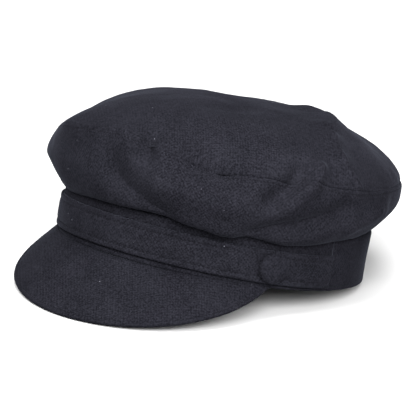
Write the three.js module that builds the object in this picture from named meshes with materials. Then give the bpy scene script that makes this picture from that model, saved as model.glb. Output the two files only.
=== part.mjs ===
// Breton fisherman cap in navy wool: soft crown, upright band, sloped peak, cloth strap and two buttons.
// Millimetres, +Z up, floor at Z 0, peak towards -Y, the wearer's left towards +X.
// The cap rests as it would by itself, on the peak's rim and the back of the band.
import * as THREE from "three";

// Band
const BAND_HALF_WIDTH = 93;
const BAND_HALF_LENGTH = 98;
const BAND_HEIGHT = 30.4;
const BAND_WALL = 3;
const BAND_SAG = 1.4;
const REST_LINE = 70;
const SEAM_ANGLE = 84;

// Peak
const PEAK_REACH = 41.3;
const PEAK_DROP = 32;
const PEAK_HALF_ANGLE = 59;
const PEAK_THICKNESS = 3;
const PEAK_ROOT = 0.5;
const PEAK_ROOT_BOW = 0.6;

// Strap, tabs and buttons
const STRAP_RISE = 4;
const STRAP_SAG = 3.5;
const STRAP_WIDTH = 19.5;
const STRAP_THICKNESS = 1.6;
const BUTTON_ANGLE_LEFT = 58;
const BUTTON_ANGLE_RIGHT = 70;
const BUTTON_DIAMETER = 18;
const BUTTON_HEIGHT = 5;

// Crown
const CROWN_WALL = 2;
const SIDE_HEIGHT = 33;
const SEAM_OUT = 10;
const ROLL_OUT = 14;
const ROLL_UP = 15;
const DOME_HEIGHT = 32.5;
const FOLD_DEPTH = 3;
const FOLD_WIDTH = 8;

const GAP = 0.3;
const TO_RADIANS = Math.PI / 180;

// Crown profile round the head, evenly spaced from the front towards the wearer's left.
// at: degrees. lip: how flat the cloth leaves the band. droop: how far it hangs over the band.
// roll and belly: reach and height of the widest place. out and up: place of the seam under the top.
// lean and square: how the top leaves the seam and how full its shoulder is.
const SECTIONS = [
  { at: 0, lip: 0.65, droop: 0.25, roll: 0.75, belly: 0.9, out: 0.65, up: 1.25, lean: 0.82, square: 0.57 },
  { at: 30, lip: 0.9, droop: 0.5, roll: 0.92, belly: 0.85, out: 0.85, up: 1, lean: 0.86, square: 0.58 },
  { at: 60, lip: 0.1, droop: 0.9, roll: 1.1, belly: 1, out: 1.05, up: 1, lean: 0.9, square: 0.6 },
  { at: 90, lip: 0.3, droop: 0.2, roll: 0.8, belly: 1.1, out: 1.4, up: 0.93, lean: 0.94, square: 0.66 },
  { at: 120, lip: 0, droop: -0.6, roll: 0.9, belly: 1.6, out: 1.2, up: 1, lean: 0.95, square: 0.69 },
  { at: 150, lip: 0.2, droop: 0, roll: 1, belly: 1.2, out: 1.2, up: 1, lean: 0.88, square: 0.61 },
  { at: 180, lip: 0.3, droop: 0.2, roll: 1, belly: 1.1, out: 1.1, up: 1, lean: 0.9, square: 0.6 },
  { at: 210, lip: 0.3, droop: 0.1, roll: 1, belly: 1.2, out: 1.2, up: 1, lean: 0.87, square: 0.58 },
  { at: 240, lip: 0.3, droop: 0.2, roll: 1, belly: 1.1, out: 1.2, up: 1, lean: 0.86, square: 0.52 },
  { at: 270, lip: 0.4, droop: 0.4, roll: 0.8, belly: 1.25, out: 1.15, up: 1, lean: 0.92, square: 0.56 },
  { at: 300, lip: 0, droop: -0.2, roll: 1.13, belly: 0.87, out: 0.95, up: 0.9, lean: 0.78, square: 0.59 },
  { at: 330, lip: 0, droop: 0.8, roll: 0.72, belly: 1.2, out: 0.92, up: 1.12, lean: 0.81, square: 0.55 },
];

// Folds and dents of the crown, each from one place to another.
// at and toAt: degrees. level and toLevel: 0 at the band, 1 at the seam, 2 at the middle of the top.
// wide: share of FOLD_WIDTH. raise: share of FOLD_DEPTH, below zero for a valley.
const FOLDS = [
  { at: 3, level: 0.7, toAt: 21, toLevel: 0.3, wide: 0.65, raise: -1.3 },
  { at: -2, level: 0.9, toAt: 9, toLevel: 0.72, wide: 0.7, raise: 0.7 },
  { at: 7.5, level: 1, toAt: 7, toLevel: 0.86, wide: 0.6, raise: -0.9 },
  { at: 18, level: 1.02, toAt: 40, toLevel: 0.95, wide: 0.5, raise: -0.6 },
  { at: 22, level: 0.78, toAt: 42, toLevel: 0.66, wide: 1.5, raise: 1.1 },
  { at: 66, level: 1.15, toAt: 54, toLevel: 0.6, wide: 0.7, raise: 1.1 },
  { at: 55, level: 1.1, toAt: 48, toLevel: 0.8, wide: 1, raise: -0.7 },
  { at: 41, level: 0.2, toAt: 46, toLevel: 0.22, wide: 0.7, raise: 0.9 },
  { at: 42, level: 0.24, toAt: 57, toLevel: 0.44, wide: 0.8, raise: -0.9 },
  { at: 63, level: 0.53, toAt: 77, toLevel: 0.78, wide: 0.8, raise: -1.1 },
  { at: 60, level: 0.26, toAt: 82, toLevel: 0.5, wide: 1.1, raise: 0.5 },
  { at: 84, level: 0.38, toAt: 101, toLevel: 0.52, wide: 0.8, raise: 0.6 },
  { at: 88, level: 0.98, toAt: 83.5, toLevel: 1.2, wide: 0.8, raise: 0.8 },
  { at: 83.5, level: 1.32, toAt: 90, toLevel: 1.48, wide: 0.9, raise: 1 },
  { at: 100, level: 1.58, toAt: 142, toLevel: 1.73, wide: 1.2, raise: 1.2 },
  { at: 104, level: 1.12, toAt: 128, toLevel: 1.45, wide: 2.2, raise: -0.9 },
  { at: 25, level: 1.7, toAt: 48, toLevel: 1.78, wide: 1.6, raise: -0.5 },
  { at: 150, level: 0.25, toAt: 172, toLevel: 0.8, wide: 1, raise: -0.9 },
  { at: 190, level: 0.9, toAt: 206, toLevel: 0.45, wide: 1.1, raise: 0.7 },
  { at: 212, level: 0.3, toAt: 238, toLevel: 0.75, wide: 0.9, raise: -0.9 },
  { at: 252, level: 1.1, toAt: 262, toLevel: 0.5, wide: 1, raise: 0.8 },
  { at: 268, level: 0.3, toAt: 296, toLevel: 0.7, wide: 1, raise: -0.8 },
  { at: 316, level: 0.6, toAt: 342, toLevel: 0.3, wide: 1.1, raise: -0.2 },
  { at: 180, level: 1.25, toAt: 240, toLevel: 1.5, wide: 2.4, raise: -0.7 },
];

function profileAt(column, at) {
  const step = 360 / SECTIONS.length;
  const place = (((at % 360) + 360) % 360) / step;
  const row = Math.floor(place) % SECTIONS.length;
  const share = place - Math.floor(place);
  const pick = (offset) => SECTIONS[(row + offset + SECTIONS.length) % SECTIONS.length][column];
  const before = pick(-1);
  const here = pick(0);
  const next = pick(1);
  const after = pick(2);
  const linear = next - before;
  const square = 2 * before - 5 * here + 4 * next - after;
  const cube = 3 * here - before - 3 * next + after;
  return 0.5 * (2 * here + linear * share + square * share ** 2 + cube * share ** 3);
}

function curve(a, b, c, d, share) {
  const rest = 1 - share;
  return rest ** 3 * a + 3 * rest * rest * share * b + 3 * rest * share * share * c + share ** 3 * d;
}

function smooth(share) {
  const held = Math.min(Math.max(share, 0), 1);
  return held * held * (3 - 2 * held);
}

// A place on the oval of the band, pushed outwards by the given length.
function onOval(at, outwards, height) {
  const turn = at * TO_RADIANS;
  const x = BAND_HALF_WIDTH * Math.sin(turn);
  const y = -BAND_HALF_LENGTH * Math.cos(turn);
  const normal = new THREE.Vector2(x / BAND_HALF_WIDTH ** 2, y / BAND_HALF_LENGTH ** 2).normalize();
  return new THREE.Vector3(x + normal.x * outwards, y + normal.y * outwards, height);
}

// How far an edge that is level at the front and the back sinks, or rises, towards the sides.
function bow(at, most) {
  return most * Math.sin(at * TO_RADIANS) ** 2;
}

// The peak: spread is the share of its full reach at this angle, out runs from the band to the rim.
function peakSpread(at) {
  return Math.max(Math.cos((Math.PI / 2) * (at / PEAK_HALF_ANGLE)), 0.01);
}

function peakReach(at) {
  return PEAK_REACH * peakSpread(at);
}

function peakDrop(at) {
  return PEAK_DROP * peakSpread(at) ** 0.8;
}

function peakTop(at, out) {
  const root = PEAK_ROOT + bow(at, PEAK_ROOT_BOW);
  return onOval(at, GAP + peakReach(at) * out, root - peakDrop(at) * out);
}

// The thickness is square to the slope, so the rim's lower edge lies further in. It tapers at both ends.
function peakUnder(at, out) {
  const thickness = PEAK_THICKNESS * Math.min(0.4 + 3 * peakSpread(at), 1);
  const slope = Math.atan2(peakDrop(at), peakReach(at));
  const inset = Math.min((thickness * Math.sin(slope)) / peakReach(at), 0.5);
  const point = peakTop(at, out * (1 - inset));
  point.z -= Math.min(thickness / Math.cos(slope), 1.4 * thickness);
  return point;
}

// The cap leans back until the peak's rim and the back of the band both lie on the floor.
function restingAngle() {
  let steepest = 0;
  for (let at = 0; at <= PEAK_HALF_ANGLE; at += 0.5) {
    const low = peakUnder(at, 1);
    steepest = Math.max(steepest, Math.atan2(-low.z, REST_LINE - low.y));
  }
  return steepest;
}

const LEAN_BACK = restingAngle();

// The band's lower edge, cut level with the floor at the back.
function bandLow(at, outwards = 0) {
  const behind = onOval(at, outwards, 0).y - REST_LINE;
  return Math.max(bow(at, -BAND_SAG), behind * Math.tan(LEAN_BACK));
}

function toRest(point) {
  const along = point.y - REST_LINE;
  const y = along * Math.cos(LEAN_BACK) + point.z * Math.sin(LEAN_BACK) + REST_LINE;
  const z = point.z * Math.cos(LEAN_BACK) - along * Math.sin(LEAN_BACK);
  return new THREE.Vector3(point.x, y, z);
}

// The crown before its folds.
function crownForm(at, level) {
  const low = BAND_HEIGHT + GAP;
  const seamOut = SEAM_OUT * profileAt("out", at);
  const seamHeight = low + SIDE_HEIGHT * profileAt("up", at);
  const rollOut = GAP + ROLL_OUT * profileAt("roll", at);
  const rollHeight = low + ROLL_UP * profileAt("belly", at);
  if (level <= 0.5) {
    const share = level / 0.5;
    const out = curve(GAP, GAP + (rollOut - GAP) * profileAt("lip", at), rollOut, rollOut, share);
    const under = low - ROLL_UP * profileAt("droop", at);
    return onOval(at, out, curve(low, under, low + 0.45 * (rollHeight - low), rollHeight, share));
  }
  if (level <= 1) {
    const share = (level - 0.5) / 0.5;
    const rise = seamHeight - rollHeight;
    const out = curve(rollOut, rollOut, (seamOut + rollOut) / 2 + 1, seamOut, share);
    return onOval(at, out, curve(rollHeight, rollHeight + 0.35 * rise, seamHeight - 0.28 * rise, seamHeight, share));
  }
  const share = level - 1;
  const top = low + SIDE_HEIGHT + DOME_HEIGHT;
  const keep = curve(1, profileAt("lean", at), profileAt("square", at), 0, share);
  const height = curve(seamHeight, seamHeight + 0.6 * (top - seamHeight), top, top, share);
  const edge = onOval(at, seamOut, height);
  return new THREE.Vector3(edge.x * keep, edge.y * keep, height);
}

function outwardNormal(surface, at, level) {
  const step = 0.02;
  const lower = Math.min(Math.max(level, step), 1.98);
  const along = surface(at + 0.8, lower).sub(surface(at - 0.8, lower));
  const up = surface(at, lower + step).sub(surface(at, lower - step));
  return along.cross(up).normalize();
}

const FOLD_LINES = FOLDS.map((fold) => {
  const line = [];
  for (let step = 0; step <= 6; step += 1) {
    const share = step / 6;
    const at = fold.at + (fold.toAt - fold.at) * share;
    const level = fold.level + (fold.toLevel - fold.level) * share;
    line.push(crownForm(at, level));
  }
  return line;
});

// The crown with its folds, which die out at the band and at the middle of the top.
function crownSkin(at, level) {
  const point = crownForm(at, level);
  const calm = smooth(level / 0.12);
  let raised = 0;
  FOLDS.forEach((fold, index) => {
    const line = FOLD_LINES[index];
    let nearest = Infinity;
    for (let step = 1; step < line.length; step += 1) {
      const segment = new THREE.Line3(line[step - 1], line[step]);
      const foot = segment.closestPointToPoint(point, true, new THREE.Vector3());
      nearest = Math.min(nearest, foot.distanceTo(point));
    }
    raised += FOLD_DEPTH * fold.raise * Math.exp(-((nearest / (FOLD_WIDTH * fold.wide)) ** 2));
  });
  if (Math.abs(raised) < 1e-6) return point;
  return point.addScaledVector(outwardNormal(crownForm, at, level), raised * calm);
}

// A closed body from two facing grids of points: outside seen from outside, inside behind it.
function slab(name, columns, rows, outside, inside, closedRound, material) {
  const points = [];
  const faces = [];
  const across = closedRound ? columns : columns + 1;
  for (const side of [outside, inside]) {
    for (let row = 0; row <= rows; row += 1) {
      for (let column = 0; column < across; column += 1) {
        points.push(toRest(side(column / columns, row / rows)));
      }
    }
  }
  const inner = (rows + 1) * across;
  const index = (row, column, shift) => shift + row * across + (closedRound ? column % across : column);
  for (let row = 0; row < rows; row += 1) {
    for (let column = 0; column < columns; column += 1) {
      const a = [index(row, column, 0), index(row, column + 1, 0)];
      const b = [index(row + 1, column, 0), index(row + 1, column + 1, 0)];
      faces.push([a[0], a[1], b[1]], [a[0], b[1], b[0]]);
      faces.push([a[0] + inner, b[1] + inner, a[1] + inner], [a[0] + inner, b[0] + inner, b[1] + inner]);
    }
  }
  for (let column = 0; column < columns; column += 1) {
    const low = [index(0, column, 0), index(0, column + 1, 0)];
    const high = [index(rows, column, 0), index(rows, column + 1, 0)];
    faces.push([low[0], low[0] + inner, low[1] + inner], [low[0], low[1] + inner, low[1]]);
    faces.push([high[0], high[1], high[1] + inner], [high[0], high[1] + inner, high[0] + inner]);
  }
  if (!closedRound) {
    for (let row = 0; row < rows; row += 1) {
      const left = [index(row, 0, 0), index(row + 1, 0, 0)];
      const right = [index(row, columns, 0), index(row + 1, columns, 0)];
      faces.push([left[0], left[1], left[1] + inner], [left[0], left[1] + inner, left[0] + inner]);
      faces.push([right[0], right[1] + inner, right[1]], [right[0], right[0] + inner, right[1] + inner]);
    }
  }
  return meshOf(name, points, faces, material);
}

function meshOf(name, points, faces, material) {
  const geometry = new THREE.BufferGeometry();
  const coordinates = points.flatMap((point) => [point.x, point.y, point.z]);
  geometry.setAttribute("position", new THREE.Float32BufferAttribute(coordinates, 3));
  geometry.setIndex(faces.flat());
  geometry.computeVertexNormals();
  const mesh = new THREE.Mesh(geometry, material);
  mesh.name = name;
  return mesh;
}

function cloth(color) {
  return new THREE.MeshStandardMaterial({ color, roughness: 0.95, metalness: 0 });
}

function between(from, to, share) {
  return from + (to - from) * share;
}

// Degrees that a length along the oval takes up.
function turnOf(length) {
  return length / ((BAND_HALF_WIDTH + BAND_HALF_LENGTH) / 2) / TO_RADIANS;
}

const HALF_GAP_TURN = turnOf(GAP / 2);

function bandPanel(name, from, to) {
  const outside = (share, rise) => {
    const at = between(from, to, share);
    return onOval(at, 0, between(bandLow(at), BAND_HEIGHT, rise));
  };
  const inside = (share, rise) => {
    const at = between(from, to, share);
    return onOval(at, -BAND_WALL, between(bandLow(at, -BAND_WALL), BAND_HEIGHT, rise));
  };
  const columns = Math.round((to - from) / 4);
  return slab(name, columns, 1, outside, inside, false, cloth(0x26262c));
}

function peak() {
  const outside = (share, out) => peakTop(between(PEAK_HALF_ANGLE, -PEAK_HALF_ANGLE, share), out);
  const inside = (share, out) => peakUnder(between(PEAK_HALF_ANGLE, -PEAK_HALF_ANGLE, share), out);
  return slab("peak", 44, 5, outside, inside, false, cloth(0x2c2c35));
}

function strapLow(at) {
  return STRAP_RISE + bow(at, -STRAP_SAG);
}

function strip(name, from, to) {
  const outside = (share, up) => {
    const at = between(from, to, share);
    return onOval(at, GAP + STRAP_THICKNESS, strapLow(at) + STRAP_WIDTH * up);
  };
  const inside = (share, up) => {
    const at = between(from, to, share);
    return onOval(at, GAP, strapLow(at) + STRAP_WIDTH * up);
  };
  return slab(name, Math.round((to - from) / 3.6), 1, outside, inside, false, cloth(0x28282f));
}

// A cloth-covered button: a flat back against the strap and a low dome in front.
function button(name, at) {
  const sides = 24;
  const rings = 5;
  const radius = BUTTON_DIAMETER / 2;
  const back = GAP + STRAP_THICKNESS + GAP;
  const middle = strapLow(at) + STRAP_WIDTH / 2;
  const centre = onOval(at, back, middle);
  const out = onOval(at, back + 1, middle).sub(centre);
  const up = new THREE.Vector3(0, 0, 1);
  const side = new THREE.Vector3().crossVectors(up, out);
  const place = (across, outwards, turn) => {
    const point = centre.clone().addScaledVector(out, outwards);
    point.addScaledVector(side, across * Math.cos(turn)).addScaledVector(up, across * Math.sin(turn));
    return toRest(point);
  };
  const points = [place(0, 0, 0)];
  const faces = [];
  const profile = [[radius * 0.93, 0]];
  for (let ring = 0; ring < rings; ring += 1) {
    const turn = (ring / rings) * (Math.PI / 2);
    profile.push([radius * Math.cos(turn), 1.2 + (BUTTON_HEIGHT - 1.2) * Math.sin(turn)]);
  }
  for (const [across, outwards] of profile) {
    for (let step = 0; step < sides; step += 1) {
      points.push(place(across, outwards, (step / sides) * 2 * Math.PI));
    }
  }
  points.push(place(0, BUTTON_HEIGHT, 0));
  const ringStart = (ring) => 1 + ring * sides;
  for (let step = 0; step < sides; step += 1) {
    const next = (step + 1) % sides;
    faces.push([0, ringStart(0) + next, ringStart(0) + step]);
    for (let ring = 0; ring < profile.length - 1; ring += 1) {
      const low = ringStart(ring);
      const high = ringStart(ring + 1);
      faces.push([low + step, low + next, high + next], [low + step, high + next, high + step]);
    }
    const last = ringStart(profile.length - 1);
    faces.push([last + step, last + next, points.length - 1]);
  }
  return meshOf(name, points, faces, cloth(0x2b2b33));
}

// The crown's side, from its edge tucked over the band up to the seam under the top, sewn into a ring.
const TUCK = BAND_WALL - 0.5;
const SIDE_TOP = 1 - GAP / 2 / (SIDE_HEIGHT * 1.4);

function crownSide() {
  const rows = 9;
  const low = BAND_HEIGHT + GAP;
  const levelOf = (rise) => Math.max(rise * rows - 1, 0) / (rows - 1) * SIDE_TOP;
  const outside = (share, rise) => {
    if (rise === 0) return onOval(360 * share, -TUCK, low);
    return crownSkin(360 * share, levelOf(rise));
  };
  const inside = (share, rise) => {
    const at = 360 * share;
    if (rise === 0) return onOval(at, -TUCK, low + 1.4);
    const level = levelOf(rise);
    const normal = outwardNormal(crownSkin, at, rise === 1 ? 1 : level);
    if (level === 0) normal.add(new THREE.Vector3(0, 0, -1)).normalize();
    return crownSkin(at, level).addScaledVector(normal, -CROWN_WALL);
  };
  return slab("crown_side", 80, rows, outside, inside, true, cloth(0x2a2a32));
}

function crownTop() {
  const rows = 9;
  const columns = 80;
  const first = 1 + GAP / 2 / 40;
  const points = [];
  const faces = [];
  const levels = [];
  for (let row = 0; row < rows; row += 1) levels.push(between(first, 2, (row / rows) ** 0.9));
  for (const wall of [0, CROWN_WALL]) {
    levels.forEach((level, row) => {
      for (let column = 0; column < columns; column += 1) {
        const at = (360 * column) / columns;
        const normal = outwardNormal(crownSkin, at, row === 0 ? 1 : level);
        points.push(toRest(crownSkin(at, level).addScaledVector(normal, -wall)));
      }
    });
    const middle = crownForm(0, 2);
    points.push(toRest(new THREE.Vector3(middle.x, middle.y, middle.z - wall)));
  }
  const shift = rows * columns + 1;
  const index = (row, column) => row * columns + (column % columns);
  for (let column = 0; column < columns; column += 1) {
    for (let row = 0; row < rows - 1; row += 1) {
      const a = [index(row, column), index(row, column + 1)];
      const b = [index(row + 1, column), index(row + 1, column + 1)];
      faces.push([a[0], a[1], b[1]], [a[0], b[1], b[0]]);
      faces.push([a[0] + shift, b[1] + shift, a[1] + shift], [a[0] + shift, b[0] + shift, b[1] + shift]);
    }
    const last = [index(rows - 1, column), index(rows - 1, column + 1)];
    faces.push([last[0], last[1], shift - 1], [last[0] + shift, 2 * shift - 1, last[1] + shift]);
    const edge = [index(0, column), index(0, column + 1)];
    faces.push([edge[0], edge[0] + shift, edge[1] + shift], [edge[0], edge[1] + shift, edge[1]]);
  }
  return meshOf("crown_top", points, faces, cloth(0x2a2a32));
}

const cap = new THREE.Group();
cap.name = "breton_fisherman_cap";
cap.add(bandPanel("band_front", -SEAM_ANGLE + HALF_GAP_TURN, SEAM_ANGLE - HALF_GAP_TURN));
cap.add(bandPanel("band_back", SEAM_ANGLE + HALF_GAP_TURN, 360 - SEAM_ANGLE - HALF_GAP_TURN));
cap.add(peak());
cap.add(crownSide());
cap.add(crownTop());
cap.add(strip("strap", -BUTTON_ANGLE_RIGHT + HALF_GAP_TURN, BUTTON_ANGLE_LEFT - HALF_GAP_TURN));
cap.add(strip("strap_tab_left", BUTTON_ANGLE_LEFT + HALF_GAP_TURN, SEAM_ANGLE));
cap.add(strip("strap_tab_right", -SEAM_ANGLE, -BUTTON_ANGLE_RIGHT - HALF_GAP_TURN));
cap.add(button("button_left", BUTTON_ANGLE_LEFT));
cap.add(button("button_right", -BUTTON_ANGLE_RIGHT));

// The origin is the middle of the cap's box, on the floor.
const box = new THREE.Box3().setFromObject(cap);
const shift = new THREE.Vector3(-(box.min.x + box.max.x) / 2, -(box.min.y + box.max.y) / 2, 0);
cap.children.forEach((mesh) => mesh.geometry.translate(shift.x, shift.y, shift.z));

export default cap;
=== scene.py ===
import math

import bpy
import numpy as np
from mathutils import Matrix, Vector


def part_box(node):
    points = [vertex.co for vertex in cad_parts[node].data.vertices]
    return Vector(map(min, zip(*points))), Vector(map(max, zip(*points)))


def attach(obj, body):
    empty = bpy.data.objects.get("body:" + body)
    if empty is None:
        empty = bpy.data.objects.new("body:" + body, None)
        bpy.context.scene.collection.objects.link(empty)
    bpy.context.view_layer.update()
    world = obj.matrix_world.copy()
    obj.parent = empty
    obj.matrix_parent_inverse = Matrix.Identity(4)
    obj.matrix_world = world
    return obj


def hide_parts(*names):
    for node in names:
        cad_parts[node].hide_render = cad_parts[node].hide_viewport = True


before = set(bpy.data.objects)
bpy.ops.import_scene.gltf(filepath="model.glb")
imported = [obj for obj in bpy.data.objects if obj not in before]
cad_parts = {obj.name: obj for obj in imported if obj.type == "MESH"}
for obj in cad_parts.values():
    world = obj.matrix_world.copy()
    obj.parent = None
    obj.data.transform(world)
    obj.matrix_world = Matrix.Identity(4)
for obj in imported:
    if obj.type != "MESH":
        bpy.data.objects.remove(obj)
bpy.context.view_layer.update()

# Sizes in millimetres, as the CAD model has them.
BAND_HALF_WIDTH = 93
BAND_HALF_LENGTH = 98
BAND_HEIGHT = 30.4
BAND_WALL = 3
BAND_SAG = 1.4
REST_LINE = 70
SEAM_ANGLE = 84
PEAK_REACH = 41.3
PEAK_DROP = 32
PEAK_HALF_ANGLE = 59
PEAK_THICKNESS = 3
PEAK_ROOT = 0.5
PEAK_ROOT_BOW = 0.6
STRAP_RISE = 4
STRAP_SAG = 3.5
STRAP_WIDTH = 19.5
STRAP_THICKNESS = 1.6
BUTTON_ANGLE_LEFT = 58
BUTTON_ANGLE_RIGHT = 70
BUTTON_DIAMETER = 18
BUTTON_HEIGHT = 5
CROWN_WALL = 2
SIDE_HEIGHT = 33
SEAM_OUT = 10
ROLL_OUT = 14
ROLL_UP = 15
DOME_HEIGHT = 32.5
FOLD_DEPTH = 3
FOLD_WIDTH = 8
GAP = 0.3

# How far rows of stitches lie from an edge: on the strap, below the crown's seam, and on the peak.
STITCH_IN = 3.4
SEAM_STITCH = 2.4
RIM_STITCH = 2.6

# One stitch: the way from one to the next, its length and half its thread's width.
STITCH_PITCH = 2.6
STITCH_LENGTH = 2
THREAD_RADIUS = 0.26

# The row of stitches in front of a button: how far it stands off, and how far it turns each way.
BUTTON_ARC_AWAY = 12.5
BUTTON_ARC_TURN = 42

# Mean radii, which turn degrees round the head into millimetres of cloth.
BAND_RADIUS = 95
STRAP_RADIUS = 96
CROWN_RADIUS = 100
CROWN_BACK_RADIUS = 105

# Rounded edges of the cloth.
BAND_LOW_ROUND = 1.1
BAND_TOP_ROUND = 1.8
STRAP_EDGE_ROUND = 1
STRAP_END_ROUND = 0.9

# Lines that are pressed into the cloth: depth and half width of each.
SEAM_GROOVE = (1.1, 0.9)
BACK_SEAM_GROOVE = (0.9, 1.1)
BAND_SEAM_GROOVE = (0.4, 1)
CROWN_TUCK = (2, 2.2)
PEAK_ROOT_GROOVE = (0.9, 1.2)
SEAM_STITCH_SINK = (0.3, 0.6)
STRAP_STITCH_SINK = (0.35, 0.8)
RIM_STITCH_SINK = (0.25, 0.6)
UNDER_STRAP_SINK = (0.8, 0.6)
UNDER_STRAP_AWAY = 0.4

# How far the strap swells between its two rows of stitches, and the band outside its front half.
STRAP_SWELL = 0.12
BAND_SWELL = 0.5
BAND_SWELL_LEAST = 0.12

# Where the crown's seam is pressed flattest, in degrees, how far that reaches and how far it fades,
# then the least share of its groove that is left there and the share that is added elsewhere.
SEAM_FLATTEST = -20
SEAM_FLAT_REACH = 25
SEAM_FLAT_FADE = 40
SEAM_LEAST = 0.15
SEAM_MORE = 0.5

# The puckers along the seam are drawn out across it and fade with the distance from it.
PUCKER_STRETCH = 0.35
PUCKER_FADE = 6

# The crown's wall thins towards the seam: its thickness there, and what each millimetre away adds.
SEAM_WALL = 0.15
SEAM_WALL_GAIN = 0.5

# How far the crown's tucked edge keeps from the band's inside, below its top, and its own thickness.
TUCK_IN = 0.5
TUCK_DOWN = 0.5
TUCK_WALL = 1.4

# How the peak's root is tucked into the band's wall: inwards, downwards, and its thickness there.
PEAK_TUCK_IN = 0.8
PEAK_TUCK_DOWN = 0.3
PEAK_TUCK_WALL = 1

# Places along the peak's rim that stay without stitches at each of its two corners.
PEAK_CORNER = 14

# Unevenness of each cloth: rows of depth, size across and seed.
CROWN_LUMPS = [(0.9, 34, 1), (0.35, 13, 2), (0.1, 5, 3)]
SEAM_PUCKERS = [(0.45, 6.5, 4)]
BAND_LUMPS = [(0.45, 24, 6), (0.16, 9, 7)]
BAND_GRAIN = [(0.05, 4, 8)]
BAND_INSIDE_LUMPS = [(0.1, 12, 9)]
STRAP_LUMPS = [(0.16, 11, 10), (0.05, 4, 11)]
PEAK_LUMPS = [(0.3, 30, 12), (0.12, 9, 13), (0.04, 4, 14)]
BUTTON_LUMPS = [(0.12, 5, 15)]

# How finely the cloth is divided. The seam is the side's last row and the top's first.
CROWN_COLUMNS = 600
SIDE_ROWS = 74
TOP_ROWS = 96
SEAM_ROW = SIDE_ROWS - 1
BAND_COLUMNS_A_DEGREE = 1.5
BAND_ROWS = 40
STRAP_COLUMNS_A_DEGREE = 2.4
STRAP_ROWS = 54
PEAK_COLUMNS = 300
PEAK_ROWS = 60

# Camera: degrees round and above the cap, its distance, the height that it circles,
# and how far the middle of the photograph lies left of that height's point and below it.
CAMERA_ROUND = 36
CAMERA_ABOVE = 14.91
CAMERA_FAR = 1283
CAMERA_HEIGHT = 60
AIM_LEFT = 3.86
AIM_BELOW = 20.82
CAMERA_ROLL = 4.93
CAMERA_LENS = 182.4
CAMERA_SENSOR = 36

# Crown profile round the head, from the front towards the wearer's left, as the CAD model has it.
SECTION_COLUMNS = ("at", "lip", "droop", "roll", "belly", "out", "up", "lean", "square")
SECTIONS = [
    (0, 0.65, 0.25, 0.75, 0.9, 0.65, 1.25, 0.82, 0.57),
    (30, 0.9, 0.5, 0.92, 0.85, 0.85, 1, 0.86, 0.58),
    (60, 0.1, 0.9, 1.1, 1, 1.05, 1, 0.9, 0.6),
    (90, 0.3, 0.2, 0.8, 1.1, 1.4, 0.93, 0.94, 0.66),
    (120, 0, -0.6, 0.9, 1.6, 1.2, 1, 0.95, 0.69),
    (150, 0.2, 0, 1, 1.2, 1.2, 1, 0.88, 0.61),
    (180, 0.3, 0.2, 1, 1.1, 1.1, 1, 0.9, 0.6),
    (210, 0.3, 0.1, 1, 1.2, 1.2, 1, 0.87, 0.58),
    (240, 0.3, 0.2, 1, 1.1, 1.2, 1, 0.86, 0.52),
    (270, 0.4, 0.4, 0.8, 1.25, 1.15, 1, 0.92, 0.56),
    (300, 0, -0.2, 1.13, 0.87, 0.95, 0.9, 0.78, 0.59),
    (330, 0, 0.8, 0.72, 1.2, 0.92, 1.12, 0.81, 0.55),
]

# Folds of the crown: from (at, level) to (at, level), then width and height as shares.
# Level is 0 at the band, 1 at the seam and 2 at the middle of the top. At the front and left
# they lie where the photograph's shading shows them, a few millimetres from the CAD model's.
FOLDS = [
    (-2, 0.6, 18, 0.22, 1.1, -1.2),
    (-1, 1.03, 5, 0.74, 1.1, 0.8),
    (8.5, 1.05, 10, 0.86, 0.6, -1.4),
    (26, 1, 35, 0.95, 0.9, -1.7),
    (17, 0.62, 40, 0.56, 1.2, 1.7),
    (67, 1.14, 56.5, 0.62, 0.7, 1.6),
    (60.5, 1.1, 51, 0.66, 0.8, -1.9),
    (47, 0.23, 57, 0.34, 0.8, -1.4),
    (63, 0.39, 77, 0.57, 0.8, -1.7),
    (60, 0.22, 82, 0.44, 1.1, 0.5),
    (84, 0.38, 101, 0.52, 0.8, 0.6),
    (82, 1.03, 78.5, 1.2, 1, 0.7),
    (79, 1.33, 84.5, 1.5, 1, 0.8),
    (93, 1.62, 137, 1.75, 1.2, 1.2),
    (100, 1.13, 125, 1.45, 2.2, -1),
    (25, 1.7, 48, 1.78, 1.6, -0.5),
    (38, 0.2, 46, 0.2, 0.8, 0.6),
    (150, 0.25, 172, 0.8, 1, -0.9),
    (190, 0.9, 206, 0.45, 1.1, 0.7),
    (212, 0.3, 238, 0.75, 0.9, -0.9),
    (252, 1.1, 262, 0.5, 1, 0.8),
    (268, 0.3, 296, 0.7, 1, -0.8),
    (316, 0.6, 342, 0.3, 1.1, -0.2),
    (180, 1.25, 240, 1.5, 2.4, -0.7),
]

# Small creases that only the cloth's surface shows, in the same columns.
CREASES = [
    (82, 1.03, 79, 1.15, 0.2, 0.35),
    (78, 1.2, 79, 1.36, 0.2, 0.35),
    (80, 1.41, 87, 1.54, 0.2, 0.35),
    (91, 1.6, 122, 1.7, 0.22, 0.3),
    (67, 1.12, 60, 0.82, 0.3, 0.3),
    (0, 0.56, 18, 0.24, 0.3, -0.3),
    (47, 0.24, 57, 0.35, 0.35, -0.3),
    (63, 0.39, 75, 0.54, 0.35, -0.3),
    (82, 0.36, 98, 0.5, 0.35, 0.3),
    (8.5, 1.02, 9, 0.9, 0.22, -0.4),
    (14, 1.015, 19, 1.02, 0.2, -0.35),
    (25, 1.02, 30, 1.005, 0.2, -0.35),
    (34, 0.98, 38, 0.95, 0.2, -0.3),
]

# The weave: the way from one yarn to the next and how far it strays, in metres. Lint is paler.
YARN_PITCH = 0.00105
YARN_STRAY = 0.0006
LINT = (0.16, 0.16, 0.19, 1)

# Random values at the corners of a cube of cells, between which lumps are drawn.
LATTICE_CELLS = 24
RANDOM = np.random.RandomState(7)
LATTICE = RANDOM.rand(LATTICE_CELLS, LATTICE_CELLS, LATTICE_CELLS) * 2 - 1


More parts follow.
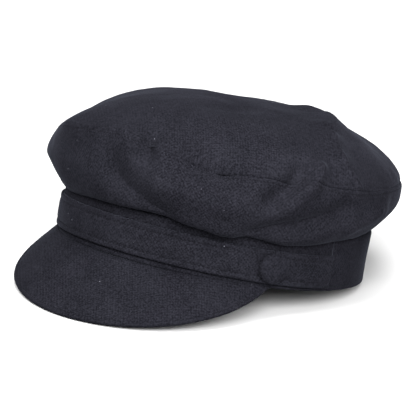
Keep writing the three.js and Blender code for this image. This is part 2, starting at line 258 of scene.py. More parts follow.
def section(column, at):
    """A column of SECTIONS, read smoothly between its rows."""
    values = np.array([row[SECTION_COLUMNS.index(column)] for row in SECTIONS], float)
    place = np.mod(at, 360) / (360 / len(values))
    row = np.floor(place).astype(int)
    share = place - row
    before, here, after, last = (values[(row + k) % len(values)] for k in (-1, 0, 1, 2))
    linear = after - before
    square = 2 * before - 5 * here + 4 * after - last
    cube = 3 * here - before - 3 * after + last
    return 0.5 * (2 * here + linear * share + square * share**2 + cube * share**3)


def curve(a, b, c, d, share):
    """A cubic curve from a to d, with b and c as its handles."""
    rest = 1 - share
    return rest**3 * a + 3 * rest**2 * share * b + 3 * rest * share**2 * c + share**3 * d


def smooth(share):
    """A soft step from 0 to 1."""
    held = np.clip(share, 0, 1)
    return held * held * (3 - 2 * held)


def eased(count):
    """Shares from 0 to 1 that lie closer together near both ends."""
    return 0.5 - 0.5 * np.cos(np.pi * np.linspace(0, 1, count))


def off_front(at):
    """Degrees from the front, whichever way round."""
    return np.abs(np.mod(at + 180, 360) - 180)


def groove(away, size):
    """A line pressed into the cloth, sharpest at its middle."""
    depth, half_width = size
    return -depth * np.exp(-((away / half_width) ** 1.5))


def sunk_row(away, row, size):
    """A soft hollow along a line that lies this far from the edge."""
    depth, half_width = size
    return -depth * np.exp(-(((away - row) / half_width) ** 2))


def on_oval(at, outwards, height):
    """Points beside the band's oval: degrees from the front, millimetres outwards and upwards."""
    turn = np.radians(at)
    x = BAND_HALF_WIDTH * np.sin(turn)
    y = -BAND_HALF_LENGTH * np.cos(turn)
    normal_x = x / BAND_HALF_WIDTH**2
    normal_y = y / BAND_HALF_LENGTH**2
    length = np.hypot(normal_x, normal_y)
    parts = (x + outwards * normal_x / length, y + outwards * normal_y / length, height + 0 * x)
    return np.stack(np.broadcast_arrays(*parts), -1)


def bow(at, most):
    """How far an edge that is level at the front and the back moves towards the sides."""
    return most * np.sin(np.radians(at)) ** 2


def peak_spread(at):
    """How far the peak reaches here, as a share of its reach at the front."""
    return np.maximum(np.cos(math.pi / 2 * at / PEAK_HALF_ANGLE), 0.01)


def peak_reach(at):
    return PEAK_REACH * peak_spread(at)


def peak_drop(at):
    return PEAK_DROP * peak_spread(at) ** 0.8


def peak_thickness(at):
    return PEAK_THICKNESS * np.minimum(0.4 + 3 * peak_spread(at), 1)


def peak_top(at, out):
    """Points of the peak's upper side, with out running from 0 at its root to 1 at its rim."""
    root = PEAK_ROOT + bow(at, PEAK_ROOT_BOW)
    return on_oval(at, GAP + peak_reach(at) * out, root - peak_drop(at) * out)


def peak_rim_low(at):
    """The lowest edge of the peak's rim, which the cap rests on at the front."""
    slope = np.arctan2(peak_drop(at), peak_reach(at))
    inset = np.minimum(peak_thickness(at) * np.sin(slope) / peak_reach(at), 0.5)
    point = peak_top(at, 1 - inset)
    point[..., 2] -= np.minimum(peak_thickness(at) / np.cos(slope), 1.4 * peak_thickness(at))
    return point


# The cap lies tilted back about the line that its band rests on, so that the peak's rim meets the floor.
rim = peak_rim_low(np.arange(0, PEAK_HALF_ANGLE + 0.1, 0.5))
LEAN_BACK = float(np.max(np.arctan2(-rim[:, 2], REST_LINE - rim[:, 1])))


def band_low(at, outwards=0):
    """The band's lower edge, which is pressed level with the floor behind the line that it rests on."""
    behind = on_oval(at, outwards, 0)[..., 1] - REST_LINE
    return np.maximum(bow(at, -BAND_SAG), behind * math.tan(LEAN_BACK))


def strap_low(at):
    return STRAP_RISE + bow(at, -STRAP_SAG)


# The cap's own frame is moved to the CAD model's: both have the band's front panel in the same place.
panel_low, panel_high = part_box("band_front")
SHIFT_X = 500 * (panel_low.x + panel_high.x)
SHIFT_Y = 1000 * panel_low.y - (REST_LINE - (BAND_HALF_LENGTH + REST_LINE) * math.cos(LEAN_BACK))


def to_rest(points):
    """Points of the upright cap, tilted to how it lies and moved to the CAD model's frame."""
    along = points[..., 1] - REST_LINE
    y = along * math.cos(LEAN_BACK) + points[..., 2] * math.sin(LEAN_BACK) + REST_LINE
    z = points[..., 2] * math.cos(LEAN_BACK) - along * math.sin(LEAN_BACK)
    return np.stack([points[..., 0] + SHIFT_X, y + SHIFT_Y, z], -1)


def crown_form(at, level):
    """The crown before its folds: a roll over the band, the rise from it to the seam, and the domed top."""
    at, level = np.broadcast_arrays(np.asarray(at, float), np.asarray(level, float))
    low = BAND_HEIGHT + GAP
    seam_out = SEAM_OUT * section("out", at)
    seam_height = low + SIDE_HEIGHT * section("up", at)
    roll_out = GAP + ROLL_OUT * section("roll", at)
    roll_height = low + ROLL_UP * section("belly", at)
    share = np.clip(level / 0.5, 0, 1)
    lip = GAP + (roll_out - GAP) * section("lip", at)
    under = low - ROLL_UP * section("droop", at)
    out_low = curve(GAP, lip, roll_out, roll_out, share)
    high_low = curve(low, under, low + 0.45 * (roll_height - low), roll_height, share)
    share = np.clip((level - 0.5) / 0.5, 0, 1)
    rise = seam_height - roll_height
    out_high = curve(roll_out, roll_out, (seam_out + roll_out) / 2 + 1, seam_out, share)
    high_high = curve(roll_height, roll_height + 0.35 * rise, seam_height - 0.28 * rise, seam_height, share)
    lower = level <= 0.5
    side = on_oval(at, np.where(lower, out_low, out_high), np.where(lower, high_low, high_high))
    share = np.clip(level - 1, 0, 1)
    top = low + SIDE_HEIGHT + DOME_HEIGHT
    keep = curve(1, section("lean", at), section("square", at), 0, share)
    height = curve(seam_height, seam_height + 0.6 * (top - seam_height), top, top, share)
    dome = on_oval(at, seam_out, height) * np.stack([keep, keep, np.ones_like(keep)], -1)
    return np.where((level > 1)[..., None], dome, side)


def normals(grid, round_it=False):
    """Outward unit normals of a grid of points, first index round the cap and second index upwards."""
    if round_it:
        along = np.roll(grid, -1, 0) - np.roll(grid, 1, 0)
    else:
        along = np.gradient(grid, axis=0)
    found = np.cross(along, np.gradient(grid, axis=1))
    return found / np.maximum(np.linalg.norm(found, axis=-1, keepdims=True), 1e-9)


def distance_to_line(points, line):
    """How far each point lies from a line of straight pieces."""
    nearest = np.full(points.shape[:-1], 1e9)
    for start, end in zip(line[:-1], line[1:]):
        step = end - start
        share = np.clip(((points - start) @ step) / (step @ step), 0, 1)
        nearest = np.minimum(nearest, np.linalg.norm(points - start - share[..., None] * step, axis=-1))
    return nearest


def fold_relief(points, folds):
    """Height of the folds' round ridges and hollows, each drawn along the crown's surface."""
    relief = np.zeros(points.shape[:-1])
    for at, level, to_at, to_level, wide, height in folds:
        share = np.linspace(0, 1, 7)
        line = crown_form(at + (to_at - at) * share, level + (to_level - level) * share)
        away = distance_to_line(points, line)
        relief += FOLD_DEPTH * height * np.exp(-((away / (FOLD_WIDTH * wide)) ** 2))
    return relief


def lumps(points, size, seed):
    """Smooth random relief between -1 and 1, with features of about the given size."""
    place = points / size + np.array([3.7, 11.3, 5.9]) * seed
    cell = np.floor(place).astype(int)
    share = smooth(place - cell)
    total = 0
    for dx in (0, 1):
        for dy in (0, 1):
            for dz in (0, 1):
                weight = 1
                for axis, step in enumerate((dx, dy, dz)):
                    weight = weight * (share[..., axis] if step else 1 - share[..., axis])
                index = (cell + np.array([dx, dy, dz])) % LATTICE_CELLS
                total = total + weight * LATTICE[index[..., 0], index[..., 1], index[..., 2]]
    return total


def unevenness(points, rows):
    """The sum of several sizes of lumps."""
    return sum(depth * lumps(points, size, seed) for depth, size, seed in rows)


def arc_lengths(grid, axis):
    """How far each point of a grid lies from its first row, measured along the surface."""
    step = np.linalg.norm(np.diff(grid, axis=axis), axis=-1)
    pad = [(0, 0), (0, 0)]
    pad[axis] = (1, 0)
    return np.pad(np.cumsum(step, axis=axis), pad)


def make_mesh(name, points, faces, flat_map=None):
    """A mesh from points in millimetres in the cap's own frame, with an optional map of its flat cloth."""
    mesh = bpy.data.meshes.new(name)
    placed = to_rest(np.asarray(points, float)) / 1000
    mesh.from_pydata(placed.tolist(), [], faces)
    mesh.update()
    mesh.polygons.foreach_set("use_smooth", [True] * len(mesh.polygons))
    if flat_map is not None:
        layer = mesh.uv_layers.new(name="cloth")
        corners = np.empty(len(mesh.loops), int)
        mesh.loops.foreach_get("vertex_index", corners)
        layer.data.foreach_set("uv", (np.asarray(flat_map)[corners] / 1000).astype(np.float32).ravel())
    piece = bpy.data.objects.new(name, mesh)
    bpy.context.scene.collection.objects.link(piece)
    return piece


def shell(name, outer, inner, cloth_map):
    """A closed wall between two grids with the same number of columns, closed at every edge."""
    columns, outer_rows = outer.shape[:2]
    inner_rows = inner.shape[1]
    loop = outer_rows + inner_rows
    points = np.concatenate([outer, inner[:, ::-1]], axis=1)
    pick = np.round(np.linspace(outer_rows - 1, 0, inner_rows)).astype(int)
    flat = np.concatenate([cloth_map, cloth_map[:, pick]], axis=1)
    faces = []
    for column in range(columns - 1):
        here = column * loop
        there = here + loop
        for row in range(loop):
            after = (row + 1) % loop
            faces.append((here + row, there + row, there + after, here + after))
    last = (columns - 1) * loop
    for row in range(outer_rows - 1):
        far = loop - 1 - row
        faces.append((row, row + 1, far - 1, far))
        faces.append((last + row + 1, last + row, last + far, last + far - 1))
    return make_mesh(name, points.reshape(-1, 3), faces, flat.reshape(-1, 2))


def dress(piece, nodes, material):
    """Puts a piece on the cap in place of CAD nodes, with its finish."""
    piece.data.materials.append(material)
    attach(piece, "root")
    if nodes:
        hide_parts(*nodes)
    return piece


def seam_depth(at):
    """How sharply the crown's seam shows: it is pressed flat into the nap at the front."""
    turned = off_front(at - SEAM_FLATTEST) - SEAM_FLAT_REACH
    return SEAM_LEAST + SEAM_MORE * smooth(turned / SEAM_FLAT_FADE)


def crown_relief(form, at, level, climbed, to_seam):
    """Folds, creases, unevenness and seams. All but the seams are quiet where the crown meets the band."""
    calm = smooth(level / 0.12) + 0 * at
    relief = fold_relief(form, FOLDS) + fold_relief(form, CREASES) + unevenness(form, CROWN_LUMPS)
    around = np.radians(at) * CROWN_RADIUS + 0 * level
    pinch = np.stack([around, PUCKER_STRETCH * to_seam, 0 * around], -1)
    relief += unevenness(pinch, SEAM_PUCKERS) * np.exp(-to_seam / PUCKER_FADE)
    seam = groove(to_seam, SEAM_GROOVE) + sunk_row(to_seam, SEAM_STITCH, SEAM_STITCH_SINK)
    relief = relief * calm + seam_depth(at) * seam
    to_back_seam = (180 - np.abs(at)) * math.radians(CROWN_BACK_RADIUS)
    relief += groove(to_back_seam, BACK_SEAM_GROOVE) * smooth(level / 0.1) * (level < 1)
    return relief + groove(climbed, CROWN_TUCK)


def crown_cloth():
    """The crown's surfaces from the band to the middle of its top, and where each point lies on them."""
    at = (np.arange(CROWN_COLUMNS) * 360 / CROWN_COLUMNS - 180)[:, None]
    away = np.linspace(0, 1, TOP_ROWS)[1:]
    # The rows of the top start closer together and stop just short of its middle.
    top = 1 + 0.985 * (0.35 * away**2 + 0.65 * away)
    level = np.concatenate([eased(SIDE_ROWS), top])[None, :]
    form = crown_form(at, level)
    climbed = arc_lengths(form, 1)
    to_seam = np.abs(climbed - climbed[:, SEAM_ROW : SEAM_ROW + 1])
    relief = crown_relief(form, at, level, climbed, to_seam)
    outer = form + normals(form, True) * relief[..., None]
    facing = normals(outer, True)
    # At the band the wall is laid partly downwards.
    facing[:, 0] = facing[:, 0] + 0.6 * np.array([0, 0, -1])
    facing[:, 0] /= np.linalg.norm(facing[:, 0], axis=-1, keepdims=True)
    wall = np.minimum(CROWN_WALL, SEAM_WALL + SEAM_WALL_GAIN * to_seam)
    inner = outer - facing * wall[..., None]
    return dict(at=at, outer=outer, inner=inner, facing=facing, climbed=climbed, to_seam=to_seam)


def crown_side(cloth):
    """The crown's side: a strip sewn into a ring and tucked into the band's top, its one seam at the back."""
    at = cloth["at"]
    outer, inner, climbed = (cloth[key][:, :SIDE_ROWS] for key in ("outer", "inner", "climbed"))
    tucked_outer = on_oval(at, TUCK_IN - BAND_WALL, BAND_HEIGHT - TUCK_DOWN)
    tucked_inner = on_oval(at, TUCK_IN - BAND_WALL, BAND_HEIGHT + GAP + TUCK_WALL)
    outer = np.concatenate([tucked_outer, outer], axis=1)
    inner = np.concatenate([tucked_inner, inner], axis=1)
    around = np.radians(np.append(at, 180))[:, None] * CROWN_RADIUS
    climbed = np.pad(climbed, ((0, 1), (1, 0)), mode="edge")
    cloth_map = np.stack([around + 0 * climbed, climbed], -1)
    outer, inner = (np.append(grid, grid[:1], 0) for grid in (outer, inner))
    return shell("crown_side_cloth", outer, inner, cloth_map)


def crown_top(cloth):
    """The round top, whose hidden inside needs only every third row."""
    outer, inner = cloth["outer"][:, SEAM_ROW:], cloth["inner"][:, SEAM_ROW:]
    every_third = np.append(np.arange(0, outer.shape[1] - 1, 3), outer.shape[1] - 1)
    return closed_dome("crown_top_cloth", outer, inner[:, every_third])


def seam_row(cloth):
    """The row of stitches below the crown's seam."""
    outer, facing, to_seam = (cloth[key][:, :SIDE_ROWS] for key in ("outer", "facing", "to_seam"))
    return line_at(outer, facing, to_seam, SEAM_STITCH)


def closed_dome(name, outer, inner):
    """Two nested domes joined at their rims, each closed at its middle by one point."""
    columns = outer.shape[0]
    points = []
    faces = []
    for grid, flip in ((outer, False), (inner, True)):
        start = sum(len(part) for part in points)
        rows = grid.shape[1]
        points.append(grid.reshape(-1, 3))
        points.append(grid[:, -1].mean(0)[None, :])
        middle = start + columns * rows
        for column in range(columns):
            here = start + column * rows
            there = start + (column + 1) % columns * rows
            for row in range(rows - 1):
                face = (here + row, there + row, there + row + 1, here + row + 1)
                faces.append(face[::-1] if flip else face)
            face = (here + rows - 1, there + rows - 1, middle)
            faces.append(face[::-1] if flip else face)
    second = columns * outer.shape[1] + 1
    for column in range(columns):
        after = (column + 1) % columns
        a, b = column * outer.shape[1], after * outer.shape[1]
        c, d = second + column * inner.shape[1], second + after * inner.shape[1]
        faces.append((b, a, c, d))
    points = np.concatenate(points)
    return make_mesh(name, points, faces, points[:, :2])


def rounded(distance, radius):
    """How far a rounded edge falls back at this distance from it."""
    inside = np.clip(1 - distance / radius, 0, 1)
    return radius * (1 - np.sqrt(1 - inside**2))


def band_panel(name, from_at, to_at):
    """One half of the band, rounded along its edges and drawn in along the strap's lower edge."""
    at = np.linspace(from_at, to_at, int((to_at - from_at) * BAND_COLUMNS_A_DEGREE))[:, None]
    rise = eased(BAND_ROWS)[None, :]
    low = band_low(at)
    height = low + (BAND_HEIGHT - low) * rise
    to_seam = np.minimum(at - from_at, to_at - at) * math.radians(BAND_RADIUS)
    flat = on_oval(at, 0 * rise, height)
    free = smooth((height - low) / 5) * smooth((BAND_HEIGHT - height) / 5)
    edges = rounded(height - low, BAND_LOW_ROUND) + rounded(BAND_HEIGHT - height, BAND_TOP_ROUND)
    on_front = smooth((SEAM_ANGLE - np.abs(at)) / 2)
    below_strap = strap_low(at) - height
    edges = edges - sunk_row(below_strap, UNDER_STRAP_AWAY, UNDER_STRAP_SINK) * on_front
    out = groove(to_seam, BAND_SEAM_GROOVE) - edges
    out = out + free * unevenness(flat, BAND_LUMPS) + unevenness(flat, BAND_GRAIN)
    # In front of its seams the band stays within the gap behind the strap.
    behind_seams = smooth((off_front(at) - SEAM_ANGLE - 2) / 6)
    out = np.minimum(out, BAND_SWELL_LEAST + BAND_SWELL * behind_seams)
    outer = on_oval(at, out, height)
    low_in = band_low(at, -BAND_WALL)
    height_in = low_in + (BAND_HEIGHT - low_in) * rise
    inner = on_oval(at, -BAND_WALL + 0.7 * edges + unevenness(flat, BAND_INSIDE_LUMPS), height_in)
    cloth_map = np.stack([np.radians(at) * BAND_RADIUS + 0 * height, height], -1)
    return shell(name, outer, inner, cloth_map)


def strip(name, from_at, to_at):
    """A cloth strip on the band with rounded edges and two sunk rows for its stitches."""
    at = np.linspace(from_at, to_at, int((to_at - from_at) * STRAP_COLUMNS_A_DEGREE))[:, None]
    across = STRAP_WIDTH * eased(STRAP_ROWS)[None, :]
    height = strap_low(at) + across
    flat = on_oval(at, 0 * across, height)
    edge = np.minimum(across, STRAP_WIDTH - across)
    to_end = np.minimum(at - from_at, to_at - at) * math.radians(STRAP_RADIUS)
    out = GAP + STRAP_THICKNESS - rounded(edge, STRAP_EDGE_ROUND) - rounded(to_end, STRAP_END_ROUND)
    out = out + sunk_row(edge, STITCH_IN, STRAP_STITCH_SINK)
    out = out + STRAP_SWELL * smooth((edge - STITCH_IN) / 3) + unevenness(flat, STRAP_LUMPS)
    outer = on_oval(at, np.maximum(out, GAP + 0.1), height)
    inner = on_oval(at, GAP + 0 * across, height)
    cloth_map = np.stack([np.radians(at) * STRAP_RADIUS + 0 * across, across + 0 * at], -1)
    return shell(name, outer, inner, cloth_map)


def peak():
    """The peak with a rounded rim and its root tucked into the band, and its row of stitches."""
    at = np.linspace(PEAK_HALF_ANGLE, -PEAK_HALF_ANGLE, PEAK_COLUMNS)[:, None]
    full = np.hypot(peak_reach(at), peak_drop(at))
    thickness = peak_thickness(at)
    half = thickness / 2
    round_rim = np.minimum(half, 0.3 * full)
    flat_out = full - round_rim
    turns = np.radians([[20, 40, 60, 78]])
    share = np.linspace(0, 1, PEAK_ROWS)[None, :]
    along = np.concatenate([flat_out * share, flat_out + round_rim * np.sin(turns)], 1)
    fall = np.concatenate([0 * share + 0 * at, half * (1 - np.cos(turns))], 1)
    base = peak_top(at, along / full)
    off = normals(base)
    rim_away = full - along
    relief = unevenness(base, PEAK_LUMPS) * smooth(along / 6) * smooth(rim_away / 2)
    relief = relief + sunk_row(rim_away, RIM_STITCH, RIM_STITCH_SINK) * smooth(full / 8)
    relief = relief + groove(along, PEAK_ROOT_GROOVE)
    outer = base + off * (relief - fall)[..., None]
    under = base - off * (thickness - fall)[..., None]
    straight = base.copy()
    straight[..., 2] -= 1.3 * thickness
    root = np.clip(1 - along / 3.2, 0, 1)[..., None]
    inner = under * (1 - root) + straight * root
    stitched = slice(PEAK_CORNER, -PEAK_CORNER)
    rim_row = line_at(outer[stitched], off[stitched], rim_away[stitched], RIM_STITCH)
    tucked = on_oval(at, -PEAK_TUCK_IN, PEAK_ROOT + bow(at, PEAK_ROOT_BOW) - PEAK_TUCK_DOWN)
    outer = np.concatenate([tucked, outer], axis=1)
    inner = np.concatenate([tucked - np.array([0, 0, PEAK_TUCK_WALL]), inner], axis=1)
    cloth_map = np.stack([outer[..., 0], -outer[..., 1]], -1)
    return shell("peak_cover", outer, inner, cloth_map), rim_row


def button(name, at):
    """A dome under stretched cloth, gathered round its back edge."""
    rings = 34
    sides = 96
    radius = BUTTON_DIAMETER / 2
    middle = float(strap_low(at)) + STRAP_WIDTH / 2
    back = GAP + STRAP_THICKNESS + GAP
    centre = on_oval(np.array(float(at)), back, middle)
    out = on_oval(np.array(float(at)), back + 1, middle) - centre
    up = np.array([0, 0, 1.0])
    side = np.cross(up, out)
    turn = np.linspace(0, 2 * np.pi, sides, endpoint=False)[:, None]
    # The rings run from the gathered edge at the back, over the rim, to the middle of the front.
    lift = np.linspace(-0.55, math.pi / 2, rings)[None, :]
    rim_height = 1.6
    dome_height = BUTTON_HEIGHT - 1.8
    back_depth = 2.6
    front = rim_height + dome_height * np.maximum(np.sin(lift), 0) + back_depth * np.minimum(np.sin(lift), 0)
    gathers = 0.14 * np.cos(17 * turn + 2 * np.sin(3 * turn)) * np.exp(-((lift + 0.35) / 0.35) ** 2)
    across = radius * np.sign(np.cos(lift)) * np.abs(np.cos(lift)) ** 0.85 + gathers
    place = centre + (out * front[..., None] + 0 * across[..., None])
    grid = place + side * (across * np.cos(turn))[..., None] + up * (across * np.sin(turn))[..., None]
    grid = grid + out * unevenness(grid, BUTTON_LUMPS)[..., None]
    points = np.concatenate([grid[:, :-1].reshape(-1, 3), [grid[:, -1].mean(0)], [grid[:, 0].mean(0)]])
    rows = rings - 1
    faces = []
    for column in range(sides):
        here = column * rows
        there = (column + 1) % sides * rows
        for row in range(rows - 1):
            faces.append((here + row, there + row, there + row + 1, here + row + 1))
        faces.append((here + rows - 1, there + rows - 1, len(points) - 2))
        faces.append((there, here, len(points) - 1))
    flat = np.stack([(points - centre) @ side, (points - centre) @ up], -1)
    return make_mesh(name, points, faces, flat)


def stitches(name, lines):
    """Rows of short threads, each lying along its line. A line is its points and the cloth's outward side."""
    sides = 6
    turn = np.linspace(0, 2 * np.pi, sides, endpoint=False)
    along = np.array([-1, -0.72, 0, 0.72, 1])
    swell = np.array([0.15, 0.75, 1, 0.75, 0.15])
    last = sides * (len(along) - 1)
    half = STITCH_LENGTH / 2
    points = []
    faces = []

    def read(table, length, travelled):
        return np.array([np.interp(length, travelled, table[:, axis]) for axis in range(3)])

    for path, facing in lines:
        steps = np.linalg.norm(np.diff(path, axis=0), axis=1)
        travelled = np.concatenate([[0], np.cumsum(steps)])
        for centre in np.arange(STITCH_PITCH / 2, travelled[-1] - STITCH_PITCH / 2, STITCH_PITCH):
            middle = read(path, centre, travelled)
            direction = read(path, centre + half, travelled) - read(path, centre - half, travelled)
            direction /= max(np.linalg.norm(direction), 1e-9)
            normal = read(facing, centre, travelled)
            normal -= direction * (normal @ direction)
            normal /= max(np.linalg.norm(normal), 1e-9)
            across = np.cross(direction, normal)
            start = len(points)
            for share, size in zip(along, swell):
                core = middle + direction * share * half + normal * (0.02 - 0.2 * share * share)
                for angle in turn:
                    spoke = across * np.cos(angle) + 0.8 * normal * np.sin(angle)
                    points.append(core + size * THREAD_RADIUS * spoke)
            for ring in range(len(along) - 1):
                for corner in range(sides):
                    a = start + ring * sides + corner
                    b = start + ring * sides + (corner + 1) % sides
                    faces.append((a, b, b + sides, a + sides))
            faces.append(tuple(start + corner for corner in reversed(range(sides))))
            faces.append(tuple(start + last + corner for corner in range(sides)))
    return make_mesh(name, points, faces)


def strap_path(at, out, height):
    """A line on the strap, with the way that its cloth faces."""
    path = on_oval(at, out + 0 * at, height)
    return path, on_oval(at, GAP + STRAP_THICKNESS + 1 + 0 * at, height) - path


def strap_line(from_at, to_at, across):
    at = np.linspace(from_at, to_at, 120)
    return strap_path(at, GAP + STRAP_THICKNESS - 0.3, strap_low(at) + across)


def arc_by_button(at, side_sign):
    """The row of stitches that turns round the front of a button."""
    turn = np.radians(np.linspace(-BUTTON_ARC_TURN, BUTTON_ARC_TURN, 40))
    angle = at - side_sign * np.degrees(BUTTON_ARC_AWAY * np.cos(turn) / STRAP_RADIUS)
    across = STRAP_WIDTH / 2 + BUTTON_ARC_AWAY * 0.62 * np.sin(turn)
    return strap_path(angle, GAP + STRAP_THICKNESS - 0.12, strap_low(angle) + across)


def line_at(grid, facing, away, wanted):
    """The line across a grid where its distance from an edge is the wanted one."""
    column = np.arange(grid.shape[0])
    order = np.argsort(away, axis=1)
    nearest = np.array([np.searchsorted(away[c, order[c]], wanted) for c in column])
    nearest = np.clip(nearest, 1, away.shape[1] - 1)
    low = order[column, nearest - 1]
    high = order[column, nearest]
    span = away[column, high] - away[column, low]
    share = ((wanted - away[column, low]) / np.where(np.abs(span) < 1e-9, 1, span))[:, None]
    path = grid[column, low] * (1 - share) + grid[column, high] * share
    return path, facing[column, low]


class Nodes:
    """Shorthand for building one material's nodes."""

    def __init__(self, name):
        self.material = bpy.data.materials.new(name)
        self.material.use_nodes = True
        self.tree = self.material.node_tree
        self.shader = self.tree.nodes["Principled BSDF"]

    def add(self, kind, inputs=None, **settings):
        node = self.tree.nodes.new(kind)
        for key, value in settings.items():
            setattr(node, key, value)
        for key, value in (inputs or {}).items():
            if isinstance(value, bpy.types.NodeSocket):
                self.tree.links.new(value, node.inputs[key])
            else:
                node.inputs[key].default_value = value
        return node

    def math(self, operation, a, b=0.0):
        return self.add("ShaderNodeMath", {0: a, 1: b}, operation=operation).outputs[0]

    def mix(self, share, a, b):
        node = self.add("ShaderNodeMix", data_type="RGBA")
        for socket, value in ((node.inputs[0], share), (node.inputs[6], a), (node.inputs[7], b)):
            if isinstance(value, bpy.types.NodeSocket):
                self.tree.links.new(value, socket)
            else:
                socket.default_value = value
        return node.outputs[2]


def wool(name, dark, light, lint=True):
    """Napped navy wool: a fine weave under a fulled surface, flecked yarn, soft patches and stray lint."""
    n = Nodes(name)
    place = n.add("ShaderNodeTexCoord").outputs["Object"]
    flat = n.add("ShaderNodeUVMap", uv_map="cloth").outputs[0]
    wobble = n.add("ShaderNodeTexNoise", {"Vector": place, "Scale": 350.0, "Detail": 2.0}).outputs["Color"]
    strayed = (YARN_STRAY, YARN_STRAY, YARN_STRAY)
    aside = n.add("ShaderNodeVectorMath", {0: wobble, 1: strayed}, operation="MULTIPLY").outputs[0]
    shifted = n.add("ShaderNodeVectorMath", {0: flat, 1: aside}, operation="ADD").outputs[0]
    parts = n.add("ShaderNodeSeparateXYZ", {0: shifted}).outputs
    warp = n.math("SINE", n.math("MULTIPLY", parts[0], math.pi / YARN_PITCH))
    weft = n.math("SINE", n.math("MULTIPLY", parts[1], math.pi / YARN_PITCH))
    woven = n.math("MULTIPLY", warp, weft)
    fleck = n.add("ShaderNodeTexNoise", {"Vector": place, "Scale": 900.0, "Detail": 3.0, "Roughness": 0.7})
    nap = n.add("ShaderNodeTexNoise", {"Vector": place, "Scale": 2600.0, "Detail": 2.0, "Roughness": 0.6})
    patch = n.add("ShaderNodeTexNoise", {"Vector": place, "Scale": 42.0, "Detail": 3.0, "Roughness": 0.55})
    flecked = n.add("ShaderNodeMapRange", {0: fleck.outputs[0], 1: 0.36, 2: 0.66, 3: 0.0, 4: 1.0}).outputs[0]
    tone = n.math("ADD", n.math("MULTIPLY", flecked, 0.62), n.math("MULTIPLY", woven, 0.12))
    tone = n.math("ADD", tone, n.math("MULTIPLY", n.math("SUBTRACT", patch.outputs[0], 0.5), 0.55))
    tone = n.math("ADD", tone, n.math("MULTIPLY", n.math("SUBTRACT", nap.outputs[0], 0.5), 0.6))
    color = n.mix(tone, (*dark, 1), (*light, 1))
    if lint:
        spots = n.add("ShaderNodeTexVoronoi", {"Vector": place, "Scale": 150.0, "Randomness": 1.0})
        near = n.math("LESS_THAN", spots.outputs["Distance"], 0.052)
        spot_parts = n.add("ShaderNodeSeparateColor", {0: spots.outputs["Color"]}).outputs
        few = n.math("GREATER_THAN", spot_parts[0], 0.86)
        color = n.mix(n.math("MULTIPLY", n.math("MULTIPLY", near, few), 0.55), color, LINT)
    n.tree.links.new(color, n.shader.inputs["Base Color"])
    rough = n.add("ShaderNodeMapRange", {0: fleck.outputs[0], 1: 0.3, 2: 0.7, 3: 0.86, 4: 1.0}).outputs[0]
    n.tree.links.new(rough, n.shader.inputs["Roughness"])
    n.shader.inputs["Specular IOR Level"].default_value = 0.0
    n.shader.inputs["Sheen Weight"].default_value = 0.04
    n.shader.inputs["Sheen Roughness"].default_value = 0.3
    n.shader.inputs["Sheen Tint"].default_value = (0.75, 0.8, 1.0, 1.0)
    relief = n.math("ADD", n.math("MULTIPLY", woven, 0.3), n.math("MULTIPLY", fleck.outputs[0], 1.1))
    relief = n.math("ADD", relief, n.math("MULTIPLY", nap.outputs[0], 0.9))
    bumped = n.add("ShaderNodeBump", {"Strength": 0.14, "Distance": 0.0004, "Height": relief})
    n.tree.links.new(bumped.outputs[0], n.shader.inputs["Normal"])
    return n.material


def thread(name, color):
    """Twisted sewing thread."""
    n = Nodes(name)
    place = n.add("ShaderNodeTexCoord").outputs["Object"]
    twist = n.add("ShaderNodeTexNoise", {"Vector": place, "Scale": 2200.0, "Detail": 2.0})
    shade = n.mix(twist.outputs[0], (*[c * 0.6 for c in color], 1), (*[c * 1.5 for c in color], 1))
    n.tree.links.new(shade, n.shader.inputs["Base Color"])
    n.shader.inputs["Roughness"].default_value = 0.9
    n.shader.inputs["Specular IOR Level"].default_value = 0.03
    bumped = n.add("ShaderNodeBump", {"Strength": 0.4, "Distance": 0.0001, "Height": twist.outputs[0]})
    n.tree.links.new(bumped.outputs[0], n.shader.inputs["Normal"])
    return n.material


# All the pieces are the same navy wool. The small differences in their tones are painted light and shade: the
# strap is made paler, and the band and peak darker, to stand in for how the light falls on each piece.
CROWN_CLOTH = wool("crown_wool", (0.0042, 0.0042, 0.0056), (0.0180, 0.0180, 0.0236))
BAND_CLOTH = wool("band_wool", (0.0038, 0.0038, 0.0051), (0.0165, 0.0165, 0.0216))
STRAP_CLOTH = wool("strap_wool", (0.0043, 0.0043, 0.0057), (0.0185, 0.0185, 0.0243))
PEAK_CLOTH = wool("peak_wool", (0.0038, 0.0038, 0.0051), (0.0160, 0.0160, 0.0210))
BUTTON_CLOTH = wool("button_wool", (0.0045, 0.0045, 0.0060), (0.0178, 0.0178, 0.0234), lint=False)
THREAD = thread("navy_thread", (0.004, 0.004, 0.0054))

# The crown
crown = crown_cloth()
dress(crown_side(crown), ["crown_side"], CROWN_CLOTH)
dress(crown_top(crown), ["crown_top"], CROWN_CLOTH)

# The band and the peak
front_half = band_panel("band_front_cloth", -SEAM_ANGLE, SEAM_ANGLE)
back_half = band_panel("band_back_cloth", SEAM_ANGLE, 360 - SEAM_ANGLE)
peak_cover, rim_row = peak()
dress(front_half, ["band_front"], BAND_CLOTH)
dress(back_half, ["band_back"], BAND_CLOTH)
dress(peak_cover, ["peak"], PEAK_CLOTH)

# The strap, its tabs and the buttons
strap_strip = strip("strap_cloth_strip", -BUTTON_ANGLE_RIGHT, BUTTON_ANGLE_LEFT)
tab_left = strip("tab_left_cloth", BUTTON_ANGLE_LEFT + 0.1, SEAM_ANGLE)
tab_right = strip("tab_right_cloth", -SEAM_ANGLE, -BUTTON_ANGLE_RIGHT - 0.1)
dress(strap_strip, ["strap"], STRAP_CLOTH)
dress(tab_left, ["strap_tab_left"], STRAP_CLOTH)
dress(tab_right, ["strap_tab_right"], STRAP_CLOTH)
dress(button("button_left_cover", BUTTON_ANGLE_LEFT), ["button_left"], BUTTON_CLOTH)
dress(button("button_right_cover", -BUTTON_ANGLE_RIGHT), ["button_right"], BUTTON_CLOTH)

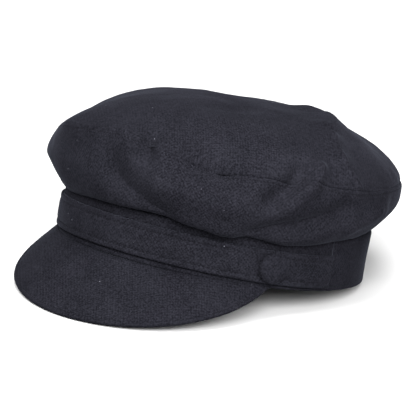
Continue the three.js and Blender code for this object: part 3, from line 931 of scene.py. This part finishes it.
# The stitches
strap_rows = [arc_by_button(BUTTON_ANGLE_LEFT, 1), arc_by_button(-BUTTON_ANGLE_RIGHT, -1)]
for across in (STITCH_IN, STRAP_WIDTH - STITCH_IN):
    strap_rows.append(strap_line(12 - BUTTON_ANGLE_RIGHT, BUTTON_ANGLE_LEFT - 12, across))
    strap_rows.append(strap_line(BUTTON_ANGLE_LEFT + 7, SEAM_ANGLE - 0.6, across))
    strap_rows.append(strap_line(0.6 - SEAM_ANGLE, -BUTTON_ANGLE_RIGHT - 7, across))
dress(stitches("strap_stitches", strap_rows), [], THREAD)
dress(stitches("peak_stitches", [rim_row]), [], THREAD)
dress(stitches("crown_seam_stitches", [seam_row(crown)]), [], THREAD)


def pale_floor():
    half = 4
    corners = [(-half, -half, 0), (half, -half, 0), (half, half, 0), (-half, half, 0)]
    mesh = bpy.data.meshes.new("floor")
    mesh.from_pydata(corners, [], [(0, 1, 2, 3)])
    floor = bpy.data.objects.new("floor", mesh)
    bpy.context.scene.collection.objects.link(floor)
    paper = bpy.data.materials.new("floor_paper")
    paper.use_nodes = True
    shader = paper.node_tree.nodes["Principled BSDF"]
    shader.inputs["Base Color"].default_value = (0.5, 0.5, 0.5, 1)
    shader.inputs["Roughness"].default_value = 0.9
    shader.inputs["Specular IOR Level"].default_value = 0.1
    mesh.materials.append(paper)
    return floor


pale_floor()

# Level directions from the camera: straight ahead, and to its right.
turn = math.radians(CAMERA_ROUND)
AHEAD = np.array([-math.sin(turn), math.cos(turn), 0])
RIGHT = np.array([math.cos(turn), math.sin(turn), 0])


def soft_light(name, beside, above, power):
    """A round soft box, placed by degrees to the right of the camera and above the floor."""
    data = bpy.data.lights.new(name, "AREA")
    data.shape = "DISK"
    data.size = 1.7
    data.energy = power
    lamp = bpy.data.objects.new(name, data)
    beside, above = math.radians(beside), math.radians(above)
    level = math.cos(above) * (math.sin(beside) * RIGHT - math.cos(beside) * AHEAD)
    lamp.location = 3 * (level + np.array([0, 0, math.sin(above)])) + np.array([0, 0, 0.05])
    lamp.rotation_euler = (math.pi / 2 - above, 0, math.atan2(-level[1], -level[0]) - math.pi / 2)
    bpy.context.scene.collection.objects.link(lamp)


soft_light("left", -50, 50, 100)
soft_light("front", 0, 35, 190)
soft_light("right", 48, 25, 80)
soft_light("over", 0, 82, 100)
soft_light("behind", 180, 45, 6)

world = bpy.data.worlds.new("studio")
world.use_nodes = True
world.node_tree.nodes["Background"].inputs[0].default_value = (1, 1, 1, 1)
world.node_tree.nodes["Background"].inputs[1].default_value = 0.1
bpy.context.scene.world = world
bpy.context.scene.view_settings.view_transform = "Standard"


def photograph_camera():
    """The camera where the photograph was taken from, turned a little about its own axis."""
    above = math.radians(CAMERA_ABOVE)
    back = math.sin(above) * np.array([0, 0, 1]) - math.cos(above) * AHEAD
    up = np.cross(back, RIGHT)
    circled = np.array([SHIFT_X, SHIFT_Y, CAMERA_HEIGHT])
    aim = circled - AIM_LEFT * RIGHT - AIM_BELOW * up
    place = circled + CAMERA_FAR * back
    view_back = (place - aim) / np.linalg.norm(place - aim)
    view_right = np.cross(up, view_back)
    view_right /= np.linalg.norm(view_right)
    view_up = np.cross(view_back, view_right)
    roll = math.radians(CAMERA_ROLL)
    rolled_right = math.cos(roll) * view_right + math.sin(roll) * view_up
    rolled_up = math.cos(roll) * view_up - math.sin(roll) * view_right
    data = bpy.data.cameras.new("camera")
    data.lens = CAMERA_LENS
    data.sensor_width = CAMERA_SENSOR
    camera = bpy.data.objects.new("camera", data)
    sides = [rolled_right, rolled_up, view_back, place / 1000]
    rows = [[float(side[axis]) for side in sides] for axis in range(3)]
    camera.matrix_world = Matrix(rows + [[0, 0, 0, 1]])
    bpy.context.scene.collection.objects.link(camera)
    return camera


bpy.context.scene.camera = photograph_camera()
